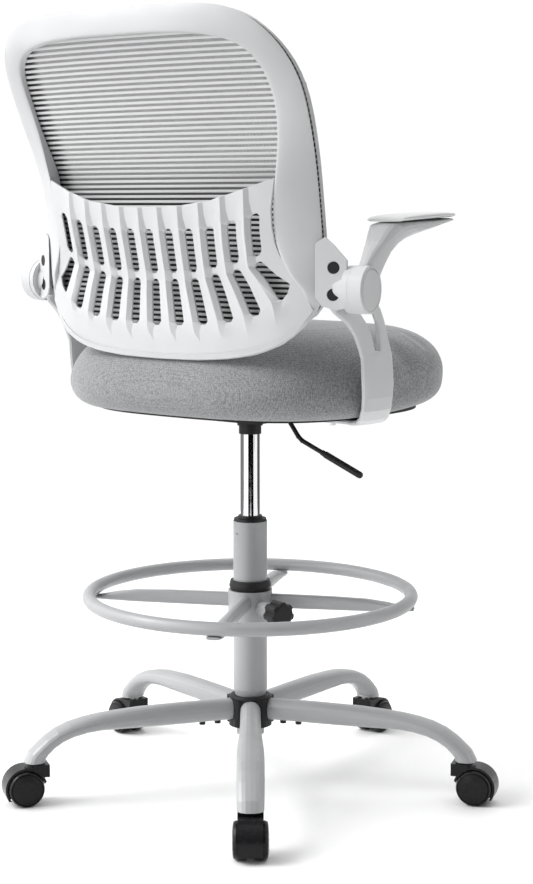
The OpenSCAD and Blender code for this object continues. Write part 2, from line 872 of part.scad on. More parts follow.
// right half of the rim, top middle to bottom middle:
// [outer x, outer z, outer y, inner x, inner z, inner y, depth of the inner wall]
rim_half = [
  [0, 1086, 281, 0, 1051, 289, 10], [57, 1086, 280, 51, 1051, 288, 10], [108, 1085.6, 276.5, 97, 1050, 284, 10],
  [148, 1083.5, 271.5, 128, 1047.5, 278.5, 10], [179, 1078.5, 267, 154, 1044, 272, 10],
  [203, 1068.5, 262, 175, 1039, 265, 10], [222, 1054.5, 255, 191, 1031, 257, 10],
  [237, 1037, 244, 204, 1018, 247.5, 10], [248, 1013, 228.5, 212, 1000, 235, 10],
  [252.5, 985, 212, 214, 975, 221, 9.5], [252.4, 955, 199, 212.5, 950, 210.5, 7.5],
  [249.8, 925, 186.5, 208.5, 920, 203, 12], [246.8, 897, 175.5, 204, 895, 199.5, 18.5],
  [244, 868, 166.5, 198.5, 868, 196.5, 23], [242.8, 838, 160.5, 193.5, 842, 193.4, 10],
  [243, 812, 157, 190.8, 817, 190, 9], [243.4, 788, 155, 190.8, 795, 186.8, 9],
  [243.4, 768, 153.3, 195, 775, 183.5, 9], [243, 750, 152, 203, 757, 180, 9],
  [242.2, 732, 151, 213, 740, 175, 8], [239.6, 714, 150, 226.5, 720, 161.5, 4],
  [231.5, 694, 154, 223, 699.5, 160, 3], [215, 674, 163.5, 208, 680, 168.4, 3],
  [191, 656.5, 172.5, 186, 663.5, 176.4, 3], [159, 643.5, 181, 156, 651, 184.5, 3],
  [119, 636, 187, 117, 643.5, 190, 3], [68, 632, 190.5, 67, 640, 193.4, 3], [0, 631, 192, 0, 638.5, 194.8, 3]];

// mirror a list of [x, ...] rows to the other side and join both halves into a loop
function both_sides(h) =
  concat(h, [for (i = [len(h) - 2:-1:1]) concat([-h[i][0]], [for (j = [1:len(h[i]) - 1])
    (j == 3 ? -h[i][j] : h[i][j])])]);

// channel section of the rim
function rim_section(s) =
  let (o = [s[0], s[2], s[1]], i = [s[3], s[5], s[4]], e = i - o,
    flat = [e[0], 0, e[2]] / norm([e[0], e[2]]), w = [0, 2.6, 0],
    a = o + 0.12 * e + [0, 1.2, 0], b = o + 0.4 * e + [0, min(2.4, norm(e) * 0.06), 0],
    c = o + 0.75 * e + [0, min(2, norm(e) * 0.05), 0], d = i - 0.04 * e + [0, 0.2, 0])
  [o, a, b, c, d, i - [0, 1.4, 0], i - [0, s[6], 0], i - [0, s[6], 0] - 2.2 * flat,
    i - 2.4 * flat - [0, 3.4, 0], c - w, b - w, a - w - [0, 0.2, 0], o - [0, 2, 0] + 0.6 * flat];

module back_frame() {
  color(shell_white)
    skin_loop([for (s = both_sides(rim_half)) rim_section(s)]);
}

// ----- lumbar panel -----

// rows of the panel: [slot pitch, table of height against distance from the middle, last point [x, z]]
panel_rows = [
  [40, [[0, 631], [68, 632], [119, 636], [159, 643.5], [191, 656.5], [215, 674]], [232, 702]],
  [40, [[0, 634], [68, 635], [119, 639], [159, 646.5], [190, 659], [213, 677]], [230, 706]],
  [39.9, [[0, 655], [68, 656.5], [120, 661], [160, 670], [190, 683], [207, 697]], [224, 722]],
  [39.8, [[0, 668], [68, 669.5], [120, 674.5], [160, 684], [190, 699], [207, 712]], [219.6, 730]],
  [39.6, [[0, 677], [42, 678], [80, 680], [121, 684.5], [161, 694.5], [192, 711.5]], [213, 740]],
  [39.4, [[0, 681.5], [42, 682.5], [80, 684.5], [121, 689], [161, 699], [191, 716]], [210.4, 744]],
  [36, [[0, 712], [70, 714], [139, 727], [176, 741]], [202.4, 758]],
  [33.4, [[0, 733.5], [66, 735.5], [100, 742], [132, 748], [164, 757]], [196, 772]],
  [33.3, [[0, 738], [66, 740], [100, 746.5], [132, 752.5], [163, 761.5]], [194.4, 776.6]],
  [33.3, [[0, 746], [66, 748], [100, 754.5], [132, 760.5], [163, 769.5]], [192.4, 784]],
  [33.3, [[0, 750.5], [66, 752.5], [100, 759], [132, 765], [163, 774]], [191.4, 788]],
  [33.4, [[0, 775], [67, 777], [101, 781.5], [134, 789], [164, 799]], [190.2, 809]],
  [33.8, [[0, 799.5], [68, 800.5], [102, 803], [134, 810.5], [167, 819.5]], [191, 828]],
  [33.9, [[0, 804], [68, 805], [102, 807.5], [134, 815], [167, 824]], [191.6, 832]],
  [34, [[0, 817], [69, 819], [104, 824], [134, 831], [168, 841]], [194.4, 848]],
  [34, [[0, 829], [52, 830.5], [104, 837], [150, 850], [174, 858]], [197.6, 865]],
  [34, [[0, 833], [52, 834.5], [104, 841], [150, 854], [174, 862]], [198.4, 870]]];

// number of slot columns
slot_columns = 11;
// column offsets inside one slot pitch: slot edges, then the rib crest and foot
slot_half = 0.19;
column_steps = [-slot_half, slot_half, 0.36, 0.5];
half_slots = (slot_columns - 1) / 2;
column_list = [for (k = [-half_slots:half_slots]) for (c = column_steps) if (k < half_slots || c < 0.3) k + c];

// rows where a slot starts or ends
slot_rows = [[4, 8], [9, 13]];

// narrowing of the slots at their ends, one value per row
row_pinch = [1, 1, 1, 1, 0.45, 1, 1, 1, 0.45, 0.45, 1, 1, 1, 0.45, 1, 1, 1];

// height of the ribs, one value per row
row_rib = [0, 0, 0, 0.8, 1.6, 1.8, 2, 2, 2, 2, 2, 2, 1.8, 1.6, 0.6, 0, 0];

function panel_columns(i) =
  let (r = panel_rows[i], last = r[2][0])
  concat([[-last, 0]],
    [for (c = [0:len(column_list) - 1])
      let (k = floor(column_list[c] + slot_half + 0.001), o = column_list[c] - k,
        q = abs(o) < 0.3 ? o * row_pinch[i] : o)
      [r[0] * (k + q), c % 4 == 2 ? 1 : 0]],
    [[last, 0]]);

function panel_row(i, back) =
  let (r = panel_rows[i], table = concat(r[1], [r[2]]))
  [for (p = panel_columns(i))
    let (x = p[0], z = lookup(abs(x), table))
    [x, panel_y(x, z) + (back ? row_rib[i] * p[1] : -3), z]];

module lumbar_panel() {
  rear = [for (i = [0:len(panel_rows) - 1]) panel_row(i, true)];
  front = [for (i = [0:len(panel_rows) - 1]) panel_row(i, false)];
  color(shell_white)
    sheet(rear, front, function (i, j)
      !((j - 1) % 4 == 0 && j > 0 && j < 4 * slot_columns + 1
        && ((i >= slot_rows[0][0] && i < slot_rows[0][1]) || (i >= slot_rows[1][0] && i < slot_rows[1][1]))));
}

// ----- mesh and its carrier -----

// side line of the mesh and its bulge in the middle: [z, y], [z, bulge]
mesh_side = [[631, 152], [674, 152], [694, 147], [714, 146], [750, 148], [788, 151], [812, 153], [838, 156.5],
  [868, 162.5], [897, 171.5], [925, 182.5], [955, 195], [985, 208], [1013, 224], [1037, 238], [1055, 247],
  [1070, 248], [1086, 247]];
mesh_bulge = [[631, 31], [700, 26], [800, 22], [900, 22], [1000, 24], [1086, 29]];

function mesh_y(x, z) = lookup(z, mesh_side) + lookup(z, mesh_bulge) * (1 - pow(x / 250, 2));

// the carrier runs just inside the rim and further in along the bottom
function inset(z) = 1.5 + 18.5 * smooth((700 - z) / 50);

// point of the carrier d further in than its outer edge, in the x, z plane
function carrier_point(s, d) =
  let (f = [s[3] - s[0], s[4] - s[1]])
  [s[0], s[1]] + (inset(s[1]) + d) * f / norm(f);

function carrier_section(s) =
  let (a = carrier_point(s, 0), b = carrier_point(s, 13.5))
  [[a[0], mesh_y(a[0], a[1]) - 2.4, a[1]], [b[0], mesh_y(b[0], b[1]) - 1.8, b[1]],
    [b[0], mesh_y(b[0], b[1]) - 11.6, b[1]], [a[0], mesh_y(a[0], a[1]) - 10.6, a[1]]];

// half width of the mesh against height
mesh_outline = [for (i = [len(rim_half) - 1:-1:0]) let (a = carrier_point(rim_half[i], 2)) [a[1], a[0]]];
mesh_heights = [654, 658, 665, 675, 694, 714, 750, 788, 812, 838, 868, 897, 925, 955, 985, 1013, 1037, 1055,
  1070, 1076];

function mesh_grid(shift) =
  [for (z = mesh_heights) let (h = lookup(z, mesh_outline))
    [for (k = [-8:8]) let (x = h * k / 8) [x, mesh_y(x, z) + shift, z]]];

module mesh_layer(shift) {
  sheet(mesh_grid(shift), mesh_grid(shift - 1), function (i, j) true);
}

module back_mesh_rear() {
  color(cloth)
    mesh_layer(0);
}

module back_mesh_front() {
  color(cloth)
    mesh_layer(-13.4);
}

module mesh_carrier() {
  color(black)
    difference() {
      union() {
        skin_loop([for (s = both_sides(rim_half)) carrier_section(s)]);
        for (m = [0, 1])
          mirror([m, 0, 0])
            for (z = [716, 749])
              union() {
                in_plate(0, z, -20.6)
                  cube([16, 4.6, 15]);
                in_plate(10, z, -20.6)
                  cube([6, 7.6, 15]);
                in_plate(11.5, z, -13.6)
                  cube([22.5, 4.4, 15]);
              }
      }
      for (m = [0, 1])
        mirror([m, 0, 0])
          for (p = plate_screws)
            in_plate(p[0], p[1], -8)
              rotate([90, 0, 0])
                cylinder(h = 12, r = 2.9, $fn = 24);
    }
}

// ---------- drawing ----------

hub_casting();
column_tube();
guide_bush();
leg(1);  // leg_1
leg(2);  // leg_2
leg(3);  // leg_3
leg(4);  // leg_4
leg(5);  // leg_5
leg_bolts();
stem_sockets();
caster_hood(1);  // caster_hood_1
caster_pins(1);  // caster_pins_1
wheel(1, 1);  // wheel_left_1
wheel(1, -1);  // wheel_right_1
caster_hood(2);  // caster_hood_2
caster_pins(2);  // caster_pins_2
wheel(2, 1);  // wheel_left_2
wheel(2, -1);  // wheel_right_2
caster_hood(3);  // caster_hood_3
caster_pins(3);  // caster_pins_3
wheel(3, 1);  // wheel_left_3
wheel(3, -1);  // wheel_right_3
caster_hood(4);  // caster_hood_4
caster_pins(4);  // caster_pins_4
wheel(4, 1);  // wheel_left_4
wheel(4, -1);  // wheel_right_4
caster_hood(5);  // caster_hood_5
caster_pins(5);  // caster_pins_5
wheel(5, 1);  // wheel_left_5
wheel(5, -1);  // wheel_right_5
piston_rod();
thrust_washer();
pressure_tube();
dust_boot();
ring_sleeve();
ring_hoop();
ring_hub();
ring_knob();
mechanism_plate();
release_pin();
height_lever();
lever_grip();
seat_board();
seat_cushion();
seat_bolts();
bracket_left();
bracket_right();
bracket_screws();
arm_pivot_pins();
armrest_left();
armrest_right();
arm_pad_left();
arm_pad_right();
arm_cap_left();
arm_cap_right();
back_frame();
lumbar_panel();
mesh_carrier();
back_mesh_rear();
back_mesh_front();
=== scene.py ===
"""Looks of the drafting chair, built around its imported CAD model.

Metres, +Z up, and the seated person faces -Y.
"""
import json
import math

import bmesh
import bpy
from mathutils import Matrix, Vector
from mathutils.bvhtree import BVHTree


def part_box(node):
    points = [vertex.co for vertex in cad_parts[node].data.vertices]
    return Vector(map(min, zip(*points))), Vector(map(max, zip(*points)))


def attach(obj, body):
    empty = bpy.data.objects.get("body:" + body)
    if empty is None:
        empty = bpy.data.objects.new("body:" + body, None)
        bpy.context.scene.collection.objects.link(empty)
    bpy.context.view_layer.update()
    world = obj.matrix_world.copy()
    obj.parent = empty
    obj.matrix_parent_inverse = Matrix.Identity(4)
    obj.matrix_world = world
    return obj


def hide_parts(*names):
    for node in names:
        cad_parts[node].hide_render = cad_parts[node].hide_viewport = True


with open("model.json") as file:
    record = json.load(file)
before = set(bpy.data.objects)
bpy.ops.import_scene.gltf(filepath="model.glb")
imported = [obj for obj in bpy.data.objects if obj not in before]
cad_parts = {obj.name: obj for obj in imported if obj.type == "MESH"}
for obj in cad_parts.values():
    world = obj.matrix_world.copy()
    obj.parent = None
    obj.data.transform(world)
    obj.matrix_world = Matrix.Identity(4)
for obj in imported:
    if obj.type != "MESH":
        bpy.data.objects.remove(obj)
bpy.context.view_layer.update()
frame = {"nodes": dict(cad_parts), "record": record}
NODES = frame["nodes"]
BODY_OF = {n: body for body, names in frame["record"]["behaviour"]["bodies"].items() for n in names}
WELD = 0.00002         # vertices closer than this are one


# ---------- small helpers ----------

def copy_of(node, name):
    """A welded copy of a CAD node that stands for it."""
    source = NODES[node]
    mesh = source.data.copy()
    piece = bpy.data.objects.new(name, mesh)
    bpy.context.scene.collection.objects.link(piece)
    bm = bmesh.new()
    bm.from_mesh(mesh)
    bmesh.ops.remove_doubles(bm, verts=bm.verts, dist=WELD)
    bm.to_mesh(mesh)
    bm.free()
    if "custom_normal" in mesh.attributes:
        mesh.attributes.remove(mesh.attributes["custom_normal"])
    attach(piece, BODY_OF[node])
    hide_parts(node)
    return piece


def quads(piece):
    """Joins the triangles of a faceted piece back into four-sided faces."""
    bm = bmesh.new()
    bm.from_mesh(piece.data)
    bmesh.ops.join_triangles(bm, faces=bm.faces, angle_face_threshold=math.radians(25),
                             angle_shape_threshold=math.radians(60))
    bm.to_mesh(piece.data)
    bm.free()


def smooth(piece, angle):
    """Smooth shading with edges sharper than the angle kept crisp."""
    piece.data.polygons.foreach_set("use_smooth", [True] * len(piece.data.polygons))
    piece.data.set_sharp_from_angle(angle=math.radians(angle))


def crease(piece, angle, strength=1.0):
    """Creases the edges that bend by more than the angle, so that subdivision keeps them."""
    bm = bmesh.new()
    bm.from_mesh(piece.data)
    layer = bm.edges.layers.float.get("crease_edge") or bm.edges.layers.float.new("crease_edge")
    for edge in bm.edges:
        if len(edge.link_faces) != 2 or edge.calc_face_angle(0) > math.radians(angle):
            edge[layer] = strength
    bm.to_mesh(piece.data)
    bm.free()


def subdivide(piece, levels):
    mod = piece.modifiers.new("smooth", "SUBSURF")
    mod.levels = levels
    mod.render_levels = levels


def bevel(piece, width, segments, angle):
    mod = piece.modifiers.new("edge", "BEVEL")
    mod.width = width
    mod.segments = segments
    mod.limit_method = "ANGLE"
    mod.angle_limit = math.radians(angle)
    mod.harden_normals = False


def surface_of(node):
    """The surface of a CAD node, for finding the points on it or near it."""
    mesh = NODES[node].data
    return BVHTree.FromPolygons([v.co for v in mesh.vertices], [tuple(p.vertices) for p in mesh.polygons])


def new_piece(name, verts, faces, body):
    mesh = bpy.data.meshes.new(name)
    mesh.from_pydata(verts, [], faces)
    mesh.update()
    piece = bpy.data.objects.new(name, mesh)
    bpy.context.scene.collection.objects.link(piece)
    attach(piece, body)
    return piece


# ---------- materials ----------

class Shader:
    """A material with short ways of adding nodes. A number or a socket may feed any input."""

    def __init__(self, name, color, roughness, metallic=0.0, **sockets):
        self.material = bpy.data.materials.new(name)
        self.material.use_nodes = True
        self.tree = self.material.node_tree
        self.bsdf = self.tree.nodes["Principled BSDF"]
        self.bsdf.inputs["Base Color"].default_value = (*color, 1)
        self.bsdf.inputs["Roughness"].default_value = roughness
        self.bsdf.inputs["Metallic"].default_value = metallic
        for socket, value in sockets.items():
            self.bsdf.inputs[socket.replace("_", " ").title().replace("Ior", "IOR")].default_value = value
        self.coords = self.tree.nodes.new("ShaderNodeTexCoord").outputs["Object"]

    def node(self, kind, **inputs):
        made = self.tree.nodes.new("ShaderNode" + kind)
        for key, value in inputs.items():
            self.feed(made.inputs[int(key[1:])] if key[0] == "i" and key[1:].isdigit() else
                      made.inputs[key.replace("_", " ")], value)
        return made

    def feed(self, socket, value):
        if isinstance(value, bpy.types.NodeSocket):
            self.tree.links.new(value, socket)
        else:
            socket.default_value = value

    def math(self, operation, a, b=0.0, c=0.0):
        made = self.tree.nodes.new("ShaderNodeMath")
        made.operation = operation
        for socket, value in zip(made.inputs, (a, b, c)):
            self.feed(socket, value)
        return made.outputs[0]

    def noise(self, scale, detail=3.0, roughness=0.5, coords=None):
        return self.node("TexNoise", Vector=coords or self.coords, Scale=scale, Detail=detail,
                         Roughness=roughness).outputs["Fac"]

    def axes(self):
        split = self.node("SeparateXYZ", Vector=self.coords)
        return split.outputs[0], split.outputs[1], split.outputs[2]

    def ramp(self, value, low, high, start=0.0, end=1.0):
        made = self.tree.nodes.new("ShaderNodeMapRange")
        made.interpolation_type = "SMOOTHSTEP"
        for socket, number in zip(made.inputs, (value, start, end, low, high)):
            self.feed(socket, number)
        return made.outputs[0]

    def blend(self, factor, a, b):
        made = self.tree.nodes.new("ShaderNodeMix")
        made.data_type = "RGBA"
        self.feed(made.inputs[0], factor)
        self.feed(made.inputs[6], (*a, 1) if isinstance(a, tuple) else a)
        self.feed(made.inputs[7], (*b, 1) if isinstance(b, tuple) else b)
        return made.outputs[2]

    def bump(self, height, distance, strength=1.0, under=None):
        made = self.node("Bump", Height=height, Distance=distance, Strength=strength)
        if under is not None:
            self.feed(made.inputs["Normal"], under)
        return made.outputs[0]

    def connect(self, socket, value):
        self.feed(self.bsdf.inputs[socket], value)


def moulded_plastic(name, color, roughness, grain=0.00012, shine=0.32):
    """Moulded plastic: fine spark-eroded grain, a faint uneven gloss and slight handling marks."""
    s = Shader(name, color, roughness, specular_ior_level=shine)
    fine = s.noise(1500, 2)
    cloud = s.noise(9, 3)
    darker = tuple(c * 0.965 for c in color)
    s.connect("Base Color", s.blend(s.ramp(cloud, 0, 1, 0.35, 0.7), color, darker))
    s.connect("Roughness", s.ramp(s.noise(38, 4), roughness - 0.05, roughness + 0.07, 0.3, 0.7))
    s.connect("Normal", s.bump(fine, grain, 0.5))
    return s.material


def painted_steel(name, color):
    """Powder coat: fine orange peel, satin, a little dust in fine specks."""
    s = Shader(name, color, 0.38, ior=1.5, coat_weight=0.12, coat_roughness=0.25)
    peel = s.noise(420, 2)
    speck = s.noise(1400, 1)
    s.connect("Base Color", s.blend(s.ramp(speck, 0, 1, 0.35, 0.75), color, tuple(c * 0.93 for c in color)))
    s.connect("Roughness", s.ramp(s.noise(24, 4), 0.32, 0.46, 0.3, 0.7))
    s.connect("Normal", s.bump(peel, 0.00018, 0.45))
    return s.material


def glossy_black(name):
    """Hard caster plastic with fine scuffs."""
    s = Shader(name, (0.012, 0.012, 0.013), 0.22, specular_ior_level=0.15)
    scuff = s.noise(160, 6, 0.7)
    s.connect("Roughness", s.ramp(scuff, 0.18, 0.42, 0.45, 0.72))
    s.connect("Normal", s.bump(s.noise(700, 2), 0.00006, 0.4))
    return s.material


def chrome(name):
    """Plated tube with faint drawing lines round it and slight smears."""
    s = Shader(name, (0.52, 0.52, 0.53), 0.06, metallic=1.0)
    x, y, z = s.axes()
    stretched = s.node("CombineXYZ", X=s.math("MULTIPLY", x, 12.0), Y=s.math("MULTIPLY", y, 12.0),
                       Z=s.math("MULTIPLY", z, 2600.0))
    lines = s.noise(1.0, 2, coords=stretched.outputs[0])
    s.connect("Roughness", s.ramp(s.noise(30, 4), 0.04, 0.13, 0.35, 0.75))
    s.connect("Normal", s.bump(lines, 0.00002, 0.3))
    return s.material


def zinc_steel(name, color=(0.52, 0.52, 0.53)):
    """Plain or blackened fastener steel with an uneven dull gloss."""
    s = Shader(name, color, 0.34, metallic=1.0)
    s.connect("Roughness", s.ramp(s.noise(300, 4), 0.26, 0.46, 0.3, 0.7))
    s.connect("Normal", s.bump(s.noise(900, 2), 0.00005, 0.4))
    return s.material


def seat_weave(name):
    """Close woven cover in two greys: small crossing threads, melange and a soft nap."""
    s = Shader(name, (0.25, 0.255, 0.262), 0.86, sheen_weight=0.3, sheen_roughness=0.45, ior=1.4)
    knots = s.node("TexVoronoi", Vector=s.coords, Scale=430.0, Randomness=0.55).outputs["Distance"]
    melange = s.noise(1100, 3, 0.75)
    streaks = s.noise(1.0, 2, coords=s.node("Mapping", Vector=s.coords, Rotation=(0.6, 0.5, 0.78),
                                            Scale=(900.0, 260.0, 260.0)).outputs[0])
    mixed = s.math("ADD", s.math("MULTIPLY", knots, 0.55), s.math("MULTIPLY", streaks, 0.75))
    light, dark = (0.37, 0.375, 0.384), (0.155, 0.159, 0.166)
    s.connect("Base Color", s.blend(s.ramp(mixed, 0, 1, 0.25, 0.95), light, dark))
    s.connect("Roughness", s.ramp(melange, 0.8, 0.95, 0.3, 0.7))
    lumps = s.bump(s.noise(60, 3), 0.0004, 0.4)
    s.connect("Normal", s.bump(s.math("SUBTRACT", 1.0, mixed), 0.0006, 0.6, lumps))
    return s.material


STRIPE = 0.00675        # pitch of the mesh fabric's stripes
BAND = 0.54            # share of the pitch that is close knit
THREAD = 0.0017        # pitch of the upright threads between the bands
PAINTED_SHADE_TOP = 0.865     # height below which the front layer is painted black as shade


def striped_mesh(name, band_color, thread_color):
    """Knitted mesh: close bands, with open rows of upright threads between them."""
    s = Shader(name, band_color, 0.8, sheen_weight=0.2, sheen_roughness=0.5, ior=1.4)
    x, y, z = s.axes()
    phase = s.math("FRACT", s.math("DIVIDE", z, STRIPE))
    away = s.math("ABSOLUTE", s.math("SUBTRACT", phase, 0.5))
    band = s.ramp(away, 1, 0, BAND / 2 - 0.04, BAND / 2 + 0.04)
    across = s.math("FRACT", s.math("DIVIDE", x, THREAD))
    near = s.math("ABSOLUTE", s.math("SUBTRACT", across, 0.5))
    thread = s.ramp(near, 1, 0, 0.07, 0.15)
    cover = s.math("MAXIMUM", band, thread)
    knit = s.math("SINE", s.math("MULTIPLY", x, 2 * math.pi / 0.0011))
    fuzz = s.noise(1500, 2, 0.6)
    tone = s.math("ADD", s.math("MULTIPLY", s.ramp(knit, 0, 1, -1, 1), 0.3), s.math("MULTIPLY", fuzz, 0.8))
    yarn = s.blend(s.ramp(tone, 0, 1, 0.2, 0.9), tuple(c * 0.72 for c in band_color), band_color)
    s.connect("Base Color", s.blend(band, thread_color, yarn))
    s.connect("Alpha", cover)
    s.connect("Normal", s.bump(s.math("ADD", band, s.math("MULTIPLY", fuzz, 0.3)), 0.0006, 0.7))
    return s.material


def plain_net(name, color):
    """Fine square net, closed and painted black as shade near its sides and foot."""
    s = Shader(name, color, 0.8, sheen_weight=0.2, sheen_roughness=0.5, ior=1.4)
    x, y, z = s.axes()

    def threads(value, pitch, share):
        offset = s.math("SUBTRACT", s.math("FRACT", s.math("DIVIDE", value, pitch)), 0.5)
        return s.ramp(s.math("ABSOLUTE", offset), 1, 0, share / 2 - 0.06, share / 2 + 0.06)

    cover = s.math("MAXIMUM", threads(x, 0.0013, 0.5), threads(z, 0.0013, 0.4))
    rim = s.tree.nodes.new("ShaderNodeAttribute")
    rim.attribute_name = "rim"
    # painted shade: the net turns black and closed near its sides and low down, in place of the shadow of the
    # rim and the lower panel
    out_of_painted_shade = s.math("MULTIPLY", s.ramp(rim.outputs["Fac"], 0, 1, 0.035, 0.06),
                    s.ramp(z, 0, 1, PAINTED_SHADE_TOP - 0.03, PAINTED_SHADE_TOP + 0.04))
    fuzz = s.noise(1500, 2, 0.6)
    yarn = s.blend(s.ramp(fuzz, 0, 1, 0.25, 0.75), tuple(c * 0.75 for c in color), color)
    s.connect("Base Color", s.blend(out_of_painted_shade, (0.012, 0.012, 0.013), yarn))
    s.connect("Alpha", s.math("MAXIMUM", cover, s.math("SUBTRACT", 1.0, out_of_painted_shade)))
    s.connect("Normal", s.bump(s.math("ADD", cover, s.math("MULTIPLY", fuzz, 0.3)), 0.0004, 0.6))
    return s.material


WHITE = moulded_plastic("white_plastic", (0.60, 0.605, 0.613), 0.42)
PAD = moulded_plastic("pad_plastic", (0.68, 0.685, 0.69), 0.55, 0.0002)
BLACK = moulded_plastic("black_plastic", (0.018, 0.018, 0.019), 0.45, 0.0002, shine=0.15)
CASTER = glossy_black("caster_black")
PAINT = painted_steel("grey_paint", (0.35, 0.356, 0.364))
CHROME = chrome("chrome")
STEEL = zinc_steel("steel")
BOLT = zinc_steel("blackened_steel", (0.03, 0.03, 0.032))
CLOTH = seat_weave("seat_fabric")
MESH_REAR = striped_mesh("mesh_fabric_rear", (0.82, 0.825, 0.83), (0.05, 0.05, 0.05))
MESH_FRONT = plain_net("mesh_fabric_front", (0.34, 0.345, 0.35))

SLOT_MATERIAL = {"white_plastic": WHITE, "pad_plastic": PAD, "black_plastic": BLACK, "caster_black": CASTER,
                 "grey_paint": PAINT, "chrome": CHROME, "steel": STEEL, "seat_fabric": CLOTH,
                 "mesh_fabric": MESH_REAR}
SLOT_OF = {p["node"]: p["material_slot"] for p in frame["record"]["subparts"]}


def dress(piece, slot, material=None):
    piece.data.materials.clear()
    piece.data.materials.append(material or SLOT_MATERIAL[slot])


for node_name, node_object in NODES.items():
    dress(node_object, SLOT_OF[node_name])
    smooth(node_object, 30)
dress(NODES["leg_bolts"], "steel", BOLT)


# ---------- shell of the back, arms and brackets ----------

def moulded(node, angle, levels=2):
    """A faceted CAD shell shown as a smooth moulding, with its edges sharper than the angle kept."""
    piece = copy_of(node, node + "_shell")
    quads(piece)
    crease(piece, angle)
    subdivide(piece, levels)
    smooth(piece, 60)
    dress(piece, SLOT_OF[node])
    return piece


moulded("back_frame", 50)


def lookup(value, table):
    """Value of a table of (place, value) pairs, straight between its places."""
    for (a, low), (b, high) in zip(table, table[1:]):
        if value <= b:
            return low + (high - low) * max(0.0, (value - a) / (b - a))
    return table[-1][1]


# how far a row of slots climbs at a distance from the middle, and the pitch of the slots at a row's height
ROW_CURVE = [(0, 0), (0.066, 0.002), (0.100, 0.0075), (0.132, 0.0135), (0.164, 0.0225), (0.192, 0.037)]
SLOT_PITCH = [(0.640, 0.0435), (0.6815, 0.0394), (0.712, 0.036), (0.7335, 0.0334), (0.7505, 0.0333),
              (0.775, 0.0334), (0.7995, 0.0338), (0.817, 0.034)]
RIBBED_HALF_WIDTH = 0.185
RIB_FOOT, RIB_HEAD = 0.655, 0.852      # heights between which the ribs stand out
CREST = 0.003          # how far the ribs' crests stand out
CREST_PLACES = [(0.36, 1.0), (0.5, 0.85)]      # share of the pitch, and share of the crest's height there
CREST_REACH = 0.07     # share of the pitch on each side that belongs to such a place


def louvred_panel():
    """Panel of the lower back: each rib climbs slowly to a crest and drops into the next slot."""
    piece = copy_of("lumbar_panel", "lumbar_panel_shell")
    bm = bmesh.new()
    bm.from_mesh(piece.data)
    bm.normal_update()
    for vertex in bm.verts:
        if max(face.normal.y for face in vertex.link_faces) < 0.5 or abs(vertex.co.x) > RIBBED_HALF_WIDTH:
            continue
        row = vertex.co.z - lookup(abs(vertex.co.x), ROW_CURVE)
        part = (vertex.co.x / lookup(row, SLOT_PITCH)) % 1.0
        fade = min(1.0, max(0.0, (row - RIB_FOOT) / 0.03), max(0.0, (RIB_HEAD - row) / 0.02))
        for place, share in CREST_PLACES:
            if abs(part - place) < CREST_REACH:
                vertex.co.y += share * CREST * fade
                break
    bm.to_mesh(piece.data)
    bm.free()
    bevel(piece, 0.0007, 2, 55)
    smooth(piece, 14)
    dress(piece, "white_plastic")


louvred_panel()


LINE = 0.0042          # width of the dark line between the shell and the pale edge of the mesh
STITCH = 0.0065        # length of one stitch with its gap
STITCH_SLANT = 0.9     # stitches lie across the edge both at the sides and at the top


def edge_wrap(name):
    """Edge of the mesh cloth drawn round the carrier: pale, with a dark stitched line beside the shell."""
    s = Shader(name, (0.62, 0.625, 0.63), 0.8, ior=1.4)
    x, y, z = s.axes()
    near = s.tree.nodes.new("ShaderNodeAttribute")
    near.attribute_name = "near"
    course = s.math("SUBTRACT", z, s.math("MULTIPLY", s.math("ABSOLUTE", x), STITCH_SLANT))
    along = s.math("FRACT", s.math("DIVIDE", course, STITCH))
    stitch = s.ramp(s.math("ABSOLUTE", s.math("SUBTRACT", along, 0.5)), 0, 1, 0.12, 0.2)
    beside_shell = s.ramp(near.outputs["Fac"], 1, 0, LINE, LINE + 0.001)
    dark = s.math("MULTIPLY", beside_shell, s.ramp(stitch, 0.45, 1, 0, 1))
    pale = s.ramp(s.noise(1300, 2), 0, 1, 0.3, 0.7)
    s.connect("Base Color", s.blend(dark, s.blend(pale, (0.50, 0.505, 0.51), (0.66, 0.665, 0.67)),
                                    (0.012, 0.012, 0.013)))
    s.connect("Normal", s.bump(pale, 0.0003, 0.5))
    return s.material


def wrapped_carrier():
    """The carrier with the mesh cloth's edge drawn round it."""
    piece = moulded("mesh_carrier", 50, 1)
    shell = surface_of("back_frame")
    near = piece.data.attributes.new("near", "FLOAT", "POINT")
    near.data.foreach_set("value", [shell.find_nearest(v.co)[3] for v in piece.data.vertices])
    dress(piece, "black_plastic", edge_wrap("carrier_edge"))


wrapped_carrier()
for side in ("left", "right"):
    moulded(f"arm_pad_{side}", 60)


# ---------- seat cushion ----------

PUFF = 0.006           # furthest that the stuffing pushes the cover out
VOXEL = 0.005
PRESSURE = 4
FRAMES = 20
BOARD_RISE, BOARD_FADE = 0.012, 0.03   # no puff below this height of the cushion, and a soft start above it
BACK_Y, BACK_FADE = 0.16, 0.05         # no puff behind this, where the brackets are close


def relax(mesh, rounds):
    bm = bmesh.new()
    bm.from_mesh(mesh)
    for _ in range(rounds):
        bmesh.ops.smooth_vert(bm, verts=bm.verts, factor=0.5,
                              use_axis_x=True, use_axis_y=True, use_axis_z=True)
    bm.to_mesh(mesh)
    bm.free()


